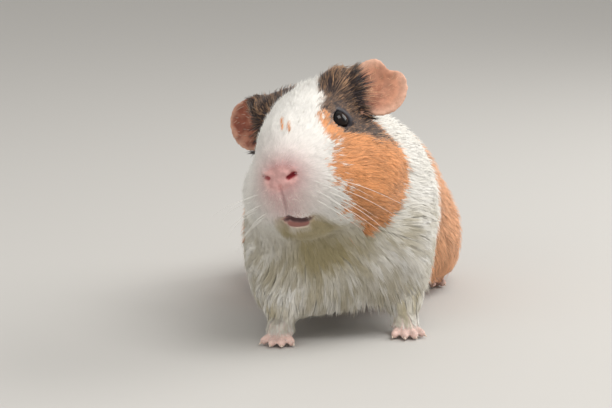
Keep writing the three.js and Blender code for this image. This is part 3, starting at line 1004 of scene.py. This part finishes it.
# %% Direction, length and closeness of the hair
HEAD_BULK = np.array([0.0, 2.0, -14.0])
BREAST_WHORL = np.array([-3.0, -52.0, 44.0])  # the hair of the breast fans out and down from here
LENGTH = {"nose": 1.2, "face": 3.0, "body": 8.5}  # mm; each adds to the last, further from the nose
GAP = {"nose": 0.29, "face": 0.07, "body": 0.13}  # mm from root to root; each adds to the last
BARE = 1e3  # a spacing so wide that nothing grows


def blend(first, second, share):
    """The first vectors, turned into the second by a share for each."""
    return first * (1 - share[:, None]) + second * share[:, None]


def breast_share(points):
    """1 on the front of the breast, below the throat."""
    _, y, z = points.T
    return smooth(-20, -42, y) * smooth(64, 50, z)


def lie_of_hair(points, head, normals):
    """The way the tips point, along the skin."""
    away = unit(head - NOSE - [0, -4, 3])
    cheek = near(np.abs(head) * [1, 0, 0] + head * [0, 1, 1], (23, 4, -20), (13, 26, 17))
    away = unit(away + cheek[:, None] * [0, 0.1, -0.5])
    for side in SIDES:
        fan = unit(head - ear_base(side) + [0, 3, 0])
        on_ear = smooth(16, 11, np.linalg.norm(head - ear_middle(side), axis=1))
        away = unit(blend(away, fan, on_ear))
    x, y, z = points.T
    sideways = np.abs(normals[:, 0])
    flow = np.stack([0.1 * np.sign(x) * sideways, np.ones(len(x)), -0.1 - 0.6 * sideways], 1)
    flow = blend(flow, np.array([0, 0.45, -1.0]), smooth(45, 80, y))  # down the rump
    fanned = (points - BREAST_WHORL) * [1.3, 0.4, 1] + [0, -4, -9]
    flow = blend(flow, unit(fanned), breast_share(points))
    shin = smooth(30, 16, z) * smooth(-0.6, -0.2, normals[:, 2])
    flow = blend(flow, np.array([0, -0.25, -1.0]), shin)
    on_head = smooth(58, 36, np.linalg.norm(head - HEAD_BULK, axis=1))
    way = unit(blend(unit(flow), away @ HEAD_TURN.T, on_head))
    way = unit(way - normals * (way * normals).sum(1, keepdims=True))
    turn = 0.12 * ripple(points, 30, 5) + 0.04 * ripple(points, 11, 6)
    beside = np.cross(normals, way)
    return unit(way * np.cos(turn)[:, None] + beside * np.sin(turn)[:, None])


def hair_length(points, head):
    """Length of a full-grown tuft, mm."""
    from_nose = nose_gap(head)
    length = LENGTH["nose"] + LENGTH["face"] * smooth(4, 30, from_nose)
    length += LENGTH["body"] * smooth(34, 90, from_nose)
    length *= 0.35 + 0.65 * smooth(6, 13, eye_gap(head))
    length *= 0.22 + 0.78 * smooth(6, 30, points[:, 2])
    return length


def spacing(points, head, bare_ear, bare_foot, normals):
    """Distance between the roots of neighbouring tufts, mm."""
    from_nose = nose_gap(head)
    gap = GAP["nose"] + GAP["face"] * smooth(14, 40, from_nose) + GAP["body"] * smooth(50, 95, from_nose)
    gap = gap * (1 + 0.8 * smooth(-0.4, -0.8, normals[:, 2]) * smooth(40, 25, points[:, 2]))  # the belly
    gap = gap * (1 - 0.07 * breast_share(points))
    pad = np.linalg.norm((head - NOSE - [0, 0, 2]) / [1.6, 1, 1], axis=1)
    naked = smooth(6.7, 6.1, eye_gap(head)) + smooth(4.8, 3.0, pad)
    naked += smooth(2.3, 1.6, line_gap(head, MOUTH_LINE)) + smooth(2.2, 1.6, line_gap(head, LOWER_LIP))
    naked += smooth(0.8, 0.3, line_gap(head, GROOVE))
    gap = gap * (1 + 3 * np.clip(naked, 0, 1))
    ear_root = np.zeros(len(points))
    for side in SIDES:
        ear_root = np.maximum(ear_root, near(head, ear_middle(side) - 9.5 * ear_axes(side)[0], 8.0))
    gap = gap + 2.6 * bare_ear * (1 - 0.92 * ear_root) + 0.3 * bare_foot
    return np.where(naked > 0.6, BARE, gap)


# %% [markdown]
# ## A place for every tuft on an unwrap of the skin
# When the model's colours are baked, each tuft takes its colour at its root's own spot. For that the skin is
# unwrapped, one region of the coat at a time, so that every region fills its own square.

# %% Regions of the coat, and their unwrap
REGIONS = "face cheek_left cheek_right crown breast neck back side_left side_right under".split()


def region_numbers(points, head, normals):
    """The region that each point belongs to, as its place in REGIONS: the first here that fits."""
    _, y, z = points.T
    hx, hy, hz = head.T
    up = normals[:, 2]
    on_head = (hy < 26) & (hz > -43) & (z > 50)
    fits = {
        "face": on_head & (hy < -12),
        "crown": on_head & (hz > 6),
        "cheek_left": on_head & (hx > 0),
        "cheek_right": on_head,
        "under": (up < -0.75) & (y > -40),
        "neck": (y < -2) & (z > 56),
        "breast": (y < -22) & (z > 14),
        "back": (z > 62) | ((z > 45) & (up > 0.55)),
        "side_left": (z > 14) & (points[:, 0] > 0),
        "side_right": z > 14,
    }
    return np.select(list(fits.values()), [REGIONS.index(name) for name in fits], REGIONS.index("under"))


mesh = skin.data
points = places(mesh)
head = to_head(points)
normals = normals_of(mesh)
corners = read(mesh.polygons, "vertices", 3, int)
face_points = points[corners].mean(1)
face_normals = unit(normals[corners].mean(1))
face_regions = region_numbers(face_points, to_head(face_points), face_normals)
mesh.uv_layers.new(name="Place")
for number in range(len(REGIONS)):
    select_faces(face_regions == number)
    bpy.ops.uv.smart_project(angle_limit=math.radians(66), island_margin=0.004)
    bpy.ops.object.mode_set(mode="OBJECT")
face_uv = read(mesh.uv_layers["Place"].data, "uv", 2).reshape(-1, 3, 2)
print("regions unwrapped:", {name: int((face_regions == i).sum()) for i, name in enumerate(REGIONS)})

# %% [markdown]
# ## Roots
# Tufts are set out over the skin as evenly as seeds in a drill: running through the faces in order, each
# face gets its share by its area and by the closeness wanted there, with a random place inside the face.

# %% Sow the roots
rng = np.random.default_rng(7)
triangle = points[corners]
area = np.linalg.norm(np.cross(triangle[:, 1] - triangle[:, 0], triangle[:, 2] - triangle[:, 0]), axis=1) / 2
ears_at = ear_share(face_points)
feet_at = foot_share(face_points)
gap = spacing(face_points, to_head(face_points), ears_at, feet_at, face_normals)
HIDDEN_WITHIN = 6.0  # mm: a face that looks at another part of the animal this close carries little hair
skin_tree = BVHTree.FromPolygons([Vector(p) for p in points], [[int(c) for c in face] for face in corners])
hidden = np.array(
    [
        skin_tree.ray_cast(Vector(at + out * 0.3), Vector(out), HIDDEN_WITHIN)[0] is not None
        for at, out in zip(face_points, face_normals)
    ]
)
socket = eye_gap(to_head(face_points)) < EYE_RADIUS + 0.35
closeness = area / gap**2 * np.where(hidden, 0.15, 1)
expected = np.cumsum(np.where(socket, 0, closeness))
print("faces that look at another part close by:", int(hidden.sum()))
root_face = np.searchsorted(expected, np.arange(0.5, expected[-1]))
share = rng.random((len(root_face), 2))
share = np.where(share.sum(1, keepdims=True) > 1, 1 - share, share)
weight = np.column_stack([1 - share.sum(1), share])[:, :, None]
roots = (triangle[root_face] * weight).sum(1)
root_normals = unit((normals[corners][root_face] * weight).sum(1))
root_uv = (face_uv[root_face] * weight).sum(1)
root_region = face_regions[root_face]
root_ear = ears_at[root_face]
root_foot = feet_at[root_face]
print("tufts:", len(roots))

# %% [markdown]
# ## Tufts
# A tuft stands for a pinch of hairs that cling together: a thin blade with a raised ridge, rooted in a point
# under the skin, lying along it and ending in another point. First each tuft gets its length, and its way
# along the skin, which strays a little from its neighbours'.

# %% Length and way of the tufts
root_head = to_head(roots)
bare = np.maximum(root_ear, root_foot)
length = hair_length(roots, root_head) * rng.uniform(0.72, 1.12, len(roots))
length = length * (1 - 0.75 * bare) + 0.2
depth = np.maximum(coat_depth(roots, root_head, bare), 0.18)
way = lie_of_hair(roots, root_head, root_normals)
beside = np.cross(root_normals, way)
stray = rng.normal(0, 0.07, len(roots))[:, None]
way = unit(way + beside * stray)
from_nose = nose_gap(root_head)
on_breast = breast_share(roots) * (1 - bare)
print("tuft length in mm, mean:", length.mean().round(2))

# %% [markdown]
# ## Locks
# Neighbours lean towards a shared leader, which gathers the coat into locks. Every tuft takes the leader that
# is best in line with it, so that the locks are long streaks and not round clumps. The breast has the
# boldest ones.

# %% Gather the tufts into locks
LEADER_SHARE = 18  # tufts to a lock, about
CHOICES = 8  # the leaders that a tuft chooses from
LOCK_SHAPE = 0.3  # a lock's width as a share of its length
GATHER = {"face": 0.13, "body": 0.09, "breast": 0.4}  # how far tips lean in; each adds to the last

leaders = np.flatnonzero(rng.random(len(roots)) < 1 / (LEADER_SHARE * (1 + 2 * on_breast)))
leader_tree = KDTree(len(leaders))
for i, leader in enumerate(leaders):
    leader_tree.insert(roots[leader], i)
leader_tree.balance()
choices = np.array([[found[1] for found in leader_tree.find_n(root, CHOICES)] for root in roots])
offset = roots[leaders[choices]] - roots[:, None]
along = (offset * way[:, None]).sum(2)
off_line = (offset**2).sum(2) - along**2
best = np.argmin(off_line + (along * LOCK_SHAPE) ** 2, axis=1)
lock = leaders[choices[np.arange(len(roots)), best]]
lock_lift = rng.random(len(roots))[lock]
lock_turn = rng.normal(0, 0.06, len(roots))[lock][:, None]
way = unit(way + beside * lock_turn)
gather = GATHER["face"] + GATHER["body"] * smooth(40, 80, from_nose) + GATHER["breast"] * on_breast
gather = gather[:, None]
towards = roots[lock] + way[lock] * length[:, None] - (roots + way * length[:, None])
towards -= 0.85 * way * (towards * way).sum(1, keepdims=True)  # mostly sideways, to keep the tips in rows
print("locks:", len(leaders))

# %% [markdown]
# ## Where the tips lie
# Tips are laid back onto the skin's curve and lifted by part of the coat's depth, some low and some high, so
# that they overlap like thatch. Under the breast and the belly the coat leaves the skin and hangs, and in
# front of each ear long hairs fan out over the foot of the leaf. Nothing sinks into the floor.

# %% Lay the tips
SINK = 0.5  # mm from a root to the skin over it
MID_LIFT = 0.62  # how high the middle of a tuft lies, as a share of its tip
LIFT = {"least": 0.35, "tuft": 0.36, "lock": 0.18, "breast": 0.22}  # shares of the coat's depth
STANDING = {"share": 0.03, "lift": 1.3}  # a few stand out


def laid(points):
    """The nearest places on the skin, and the skin's directions there."""
    found = [skin_tree.find_nearest(Vector(p)) for p in points]
    return np.array([f[0] for f in found]), np.array([f[1] for f in found])


hang = smooth(0.1, -0.45, root_normals[:, 2]) * smooth(56, 42, roots[:, 2]) * smooth(13, 20, roots[:, 2])
hang = hang * np.where(bare > 0.1, 0, 1) * rng.uniform(0.5, 1.0, len(roots))
lift = LIFT["least"] + LIFT["tuft"] * rng.random(len(roots))
lift = np.clip(lift + (LIFT["lock"] + LIFT["breast"] * on_breast) * lock_lift, 0, 1.0)
lift = np.where(rng.random(len(roots)) < STANDING["share"], STANDING["lift"], lift)
mid_at, mid_normal = laid(roots + way * length[:, None] * 0.5 + towards * gather * 0.3)
tip_at, tip_normal = laid(roots + way * length[:, None] + towards * gather)
mid = mid_at + unit(mid_normal + root_normals) * (depth * lift * MID_LIFT)[:, None]
tip_depth = np.maximum(coat_depth(tip_at, to_head(tip_at), bare), 0.15)
tip = tip_at + unit(tip_normal + mid_normal) * (tip_depth * lift * 0.95)[:, None]
print("lift, mean:", lift.mean().round(2))

# %% Hanging hair, and the fans over the ears
FAN_AT, FAN_SIZE = (-10.5, -1, 1.5), (4.0, 8, 4)  # in the ear's own directions, mm
ABOVE_FLOOR = 0.1

fall = unit(way * [0.7, 0.5, 0.3] + [0, -0.1, -1.0])
fallen = towards * gather * 0.6
reach = (length * (0.8 + 0.5 * rng.random(len(roots)) + 0.25 * lock_lift))[:, None]
mid = blend(mid, roots + fall * reach * 0.5 + fallen * 0.3, hang)
tip = blend(tip, roots + fall * reach + fallen, hang)
for side in SIDES:
    outwards, upwards, facing = ear_axes(side)
    in_leaf = in_ear(root_head, side)
    fan = np.clip(2.0 * near(in_leaf, FAN_AT, FAN_SIZE), 0, 1) * rng.uniform(0.3, 1.0, len(roots))
    free = unit(outwards - upwards * (0.25 - 0.08 * in_leaf[:, 1])[:, None] + facing * 0.22)
    at = from_head(root_head + free * (2.5 + 9.0 * fan)[:, None])
    tip = blend(tip, at, fan)
    mid = blend(mid, roots * 0.5 + at * 0.5 + root_normals * 0.6, fan)
mid[:, 2] = np.maximum(mid[:, 2], ABOVE_FLOOR + 0.1)
tip[:, 2] = np.maximum(tip[:, 2], ABOVE_FLOOR)
start = roots - root_normals * SINK
start[:, 2] = np.maximum(start[:, 2], ABOVE_FLOOR)
print("hanging tufts:", int((hang > 0.5).sum()))

# %% [markdown]
# ## Colours of the tufts
# Each tuft looks up the markings where its outer half shows, moved a little by a fringe of its own and of its
# lock. Dark hair is ticked with tan, and the tone varies from hair to hair and from lock to lock. White hair
# is painted with shade under the jaw, on the throat and the chin, and with darker streaks between the
# breast's locks.

# %% Colours of the tufts
fringe = rng.normal(0, 0.8, len(roots)) + rng.normal(0, 1.1, len(roots))[lock]
seen_at = roots * 0.4 + tip_at * 0.6  # what shows of a tuft is its outer half
seen_head = to_head(seen_at)
ginger, dark = markings(seen_at, seen_head, fringe)
dark = dark * smooth(0.9, 0.3, root_ear)
# The right ear's hair is painted darker, as painted shade.
dark = np.maximum(dark, 0.45 * root_ear * (root_head[:, 0] < 0))  # painted shade: the right ear's hair is painted darker, as that ear lies in shade
ticked = 0.02 + 0.3 * ripple(roots, 7, 9) + rng.normal(0, 0.5, len(roots))
for side in SIDES:
    outwards, upwards, _ = in_ear(root_head, side).T
    by_ear = np.hypot(outwards + 10, upwards - 1)
    if side == "left":
        ticked -= 0.9 * smooth(6, 2, by_ear)  # a black band along the ear
        ticked += 0.75 * smooth(19, 25, root_head[:, 2])  # and tan hair on top of the head
    else:
        ticked += 0.8 * smooth(4, 13, upwards)  # paler above the ear
ginger = np.where(root_ear > 0.3, 0.8 * (1 - dark), ginger)
ginger = ginger * (1 - 0.12 * smooth(60, 90, from_nose))  # paler on the flanks
tan = dark * np.clip(ticked, 0, 1)
flush = near(seen_head, (1, -39, -14.5), (10.5, 9, 8.5)) + 0.6 * near(seen_head, (-1, -37, -25), (10, 9, 9))
flush = np.clip(flush + 0.2 * near(seen_head, (0, -36, -12), (18, 16, 18)), 0, 1)
lock_tone = rng.random(len(roots))[lock] - 0.5
tone = 0.5 + rng.normal(0, 0.19, len(roots)) + 0.3 * lock_tone + 0.15 * ripple(roots, 14, 11)
tone = np.clip(tone, 0, 1)
streaky = (0.3 * ripple(roots, 20, 13) - lock_tone) * smooth(30, 70, from_nose)
# Painted shade under the jaw; on the breast, darker streaks by lock that are partly painted shade between the
# locks, over a real cream tint.
cream = creamy(root_head) + (0.15 + 0.45 * on_breast) * streaky + 0.28 * on_breast
cream = np.clip(cream, 0, 1)
LAYERS = {"ginger": ginger, "dark": dark, "tan": tan, "pink": flush, "tone": tone, "cream": cream}
print("ginger, dark and tan tufts, as shares:", *[x.mean().round(3) for x in (ginger, dark, tan)])

# %% [markdown]
# ## Build the coat
# Every tuft of a region becomes five corners and six triangles of one mesh. Its colours are numbers on its
# corners, its shading follows the skin below, and on the baking map it is a small patch at its root's place.

# %% Build the coat's pieces
BLADE = {"least": 0.14, "per_length": 0.016, "ridge": 0.35}  # width in mm, and the ridge as a share of it
ROUNDNESS = 0.3  # how far the shading turns from a blade's middle to its sides
MOST_TUFTS = 32000  # in one piece
PATCH = 0.003  # how large a tuft is on the baking map
# A tuft's corners are its root, the two sides and the ridge of its middle, and its tip.
CORNERS = 5
TRIANGLES = [(0, 2, 1), (0, 3, 2), (0, 1, 3), (1, 2, 4), (2, 3, 4), (3, 1, 4)]
ALONG = [0, 0.55, 0.55, 0.55, 1]  # how far along the tuft each corner lies
PATCH_CORNERS = np.array([(0, -0.5), (-0.5, 0), (0, 0), (0.5, 0), (0, 0.5)]) * PATCH

GLOSS = {"Roughness": 0.62, "Specular_IOR_Level": 0.22, "Sheen_Weight": 0.15}
coat_paint, tree, shader = new_material("coat_paint", **GLOSS)
along_hair = attribute(tree, "along")
# Roots are painted darker than tips: painted shade deep in the coat, where the tufts shade one another.
white = mixed(tree, along_hair, HAIR["white_shaded_root"], HAIR["white"])
# The olive cream lays painted shade under the jaw and between the breast's locks, and a real cream tint on
# the body.
white = mixed(tree, attribute(tree, "cream"), white, HAIR["cream"])
orange = mixed(tree, along_hair, HAIR["ginger_shaded_root"], HAIR["ginger"])
colour = mixed(tree, attribute(tree, "ginger"), white, orange)
colour = mixed(tree, attribute(tree, "dark"), colour, HAIR["dark"])
tick = calculated(tree, "MULTIPLY", attribute(tree, "tan"), ramp(tree, along_hair, 0.1, 0.9, 0.25, 1.0))
colour = mixed(tree, tick, colour, HAIR["tan"])
colour = mixed(tree, attribute(tree, "pink"), colour, HAIR["flushed"])
# White hair differs little from tuft to tuft, ginger and dark hair more.
pale_shade = ramp(tree, attribute(tree, "tone"), 0.0, 1.0, 0.86, 1.05)
rich_shade = ramp(tree, attribute(tree, "tone"), 0.0, 1.0, 0.62, 1.24)
coloured = calculated(tree, "ADD", attribute(tree, "ginger"), attribute(tree, "dark"))
shade = mixed(tree, coloured, grey(tree, pale_shade), grey(tree, rich_shade))
colour = mixed(tree, 1.0, colour, shade, "MULTIPLY")
tree.links.new(colour, shader.inputs["Base Color"])


def ring(at, normal, ahead, width):
    """Three corners of a blade's cross section: two on its sides and one on its ridge."""
    side = unit(np.cross(normal, ahead))
    half = width[:, None] / 2
    return at + side * half, at - side * half, at + normal * width[:, None] * BLADE["ridge"]


def rounded(normal, ahead, turn):
    """The direction that a blade's side or ridge is shaded by: the skin's own, turned a little aside."""
    return unit(normal + np.cross(normal, ahead) * turn * ROUNDNESS)


def coat_piece(name, chosen):
    """One mesh of all the chosen tufts."""
    count = len(chosen)
    width = (BLADE["least"] + BLADE["per_length"] * length[chosen]) * rng.uniform(0.8, 1.2, count)
    ahead = unit(mid[chosen] - start[chosen])
    further = unit(tip[chosen] - mid[chosen])
    left_side, right_side, ridge = ring(mid[chosen], unit(mid_normal[chosen]), unit(ahead + further), width)
    corners = np.stack([start[chosen], left_side, ridge, right_side, tip[chosen]], 1)
    shading = [unit(root_normals[chosen])]
    shading += [rounded(unit(mid_normal[chosen]), further, turn) for turn in (1, 0, -1)]
    shading.append(unit(tip_normal[chosen] + 0.2 * further))
    base = np.arange(count)[:, None] * CORNERS
    loops = (base[:, None, :] + np.array(TRIANGLES)[None]).reshape(-1)
    mesh = bpy.data.meshes.new(name)
    mesh.vertices.add(count * CORNERS)
    mesh.vertices.foreach_set("co", (corners * MM).ravel())
    mesh.loops.add(len(loops))
    mesh.loops.foreach_set("vertex_index", loops)
    mesh.polygons.add(len(loops) // 3)
    mesh.polygons.foreach_set("loop_start", np.arange(len(loops) // 3) * 3)
    mesh.polygons.foreach_set("use_smooth", np.ones(len(loops) // 3, bool))
    mesh.update(calc_edges=True)
    store(mesh, **{name: np.repeat(values[chosen], CORNERS) for name, values in LAYERS.items()})
    store(mesh, along=np.tile(ALONG, count))
    corner_uv = (root_uv[chosen][:, None] + PATCH_CORNERS[None]).reshape(-1, 2)
    baking_map = mesh.uv_layers.new(name="OFBake")
    baking_map.data.foreach_set("uv", np.clip(corner_uv[loops], 0, 1).ravel())
    mesh.normals_split_custom_set_from_vertices(np.stack(shading, 1).reshape(-1, 3))
    piece = add_object(name, mesh)
    mesh.materials.append(coat_paint)
    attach(piece, "root")


total = 0
for number, region in enumerate(REGIONS):
    members = np.flatnonzero(root_region == number)
    members = members[np.argsort(roots[members, 1], kind="stable")]
    parts = max(1, math.ceil(len(members) / MOST_TUFTS))
    for part, chosen in enumerate(np.array_split(members, parts), start=1):
        coat_piece(f"coat_{region}" + (f"_{part}" if parts > 1 else ""), chosen)
        total += len(chosen)
    print("coat", region, len(members), "tufts")
print("tufts in all:", total, "triangles:", total * len(TRIANGLES))


# %% [markdown]
# ## Whiskers
# Whiskers are single stiff hairs, far longer than the coat's, in rows on each pad. Each is a thin round horn
# that bends back and droops under its own weight.

# %% Whiskers
WHISKER = {"radius": 0.11, "steps": 9, "sides": 5}
WHISKER_WAY = {"left": (0.85, 0.1, -0.6), "right": (-1.0, -0.1, -0.05)}  # in the head's frame
whisker_paint, tree, shader = new_material("whisker_paint", Roughness=0.4, Specular_IOR_Level=0.4)
pale = mixed(tree, attribute(tree, "along"), (0.90, 0.87, 0.82, 1), (0.97, 0.96, 0.94, 1))
tree.links.new(pale, shader.inputs["Base Color"])


def whisker_lines():
    """Root, direction, bend and length of every whisker, in the head's frame."""
    lines = []
    for side, sign in SIDES.items():
        for row in range(3):
            for column in range(3):
                root = np.array([9.5 + 2.4 * column, -33.5 + 4.4 * column, -19.0 - 3.4 * row - 0.6 * column])
                way = unit(np.add(WHISKER_WAY[side], (0, 0.2 * column, 0.12 - 0.14 * row)))
                long = rng.uniform(15, 22) + 4.0 * column
                lines.append((root * [sign, 1, 1], way, np.array([-0.1 * sign, 0.4, -0.5]), long))
    return lines


rows, faces, along_values = [], [], []
lines = whisker_lines()
for root, way, bend, long in lines:
    start_at = from_head(root)
    hit, hit_normal, _, _ = skin_tree.find_nearest(Vector(start_at))
    start_at = np.array(hit) - np.array(hit_normal) * 0.6
    way, bend = HEAD_TURN @ way, HEAD_TURN @ (bend + rng.normal(0, 0.08, 3))
    first = len(rows)
    steps, sides = WHISKER["steps"], WHISKER["sides"]
    for i in range(steps):
        t = i / (steps - 1)
        middle = start_at + way * long * t + bend * long * 0.5 * t * t
        ahead = unit(way + bend * t)
        side_way = unit(np.cross(ahead, [0, 0, 1]))
        up_way = np.cross(side_way, ahead)
        rows += circle(middle, WHISKER["radius"] * (1 - 0.8 * t), side_way, up_way, sides)
        along_values += [t] * sides
    for i in range(steps - 1):
        for j in range(sides):
            a, b = first + i * sides, first + (i + 1) * sides
            faces.append((a + j, b + j, b + (j + 1) % sides, a + (j + 1) % sides))
    faces.append(tuple(first + j for j in range(sides)))
    faces.append(tuple(first + (steps - 1) * sides + j for j in reversed(range(sides))))
whiskers = mesh_object("whiskers", rows, faces)
bpy.ops.object.shade_smooth()
store(whiskers.data, along=along_values)
whiskers.data.materials.append(whisker_paint)
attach(whiskers, "root")
print("whiskers:", len(lines))

# %% [markdown]
# ## Sizes, and the end
# Both boxes are printed: the solids' and the dressed animal's. The dressed animal has to stay about as
# large as its solids.

# %% Print the boxes and finish
visual_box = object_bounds()
for label, box in (("solids", cad_box), ("dressed", visual_box)):
    print(label, [round(x / MM, 1) for corner in box for x in corner])
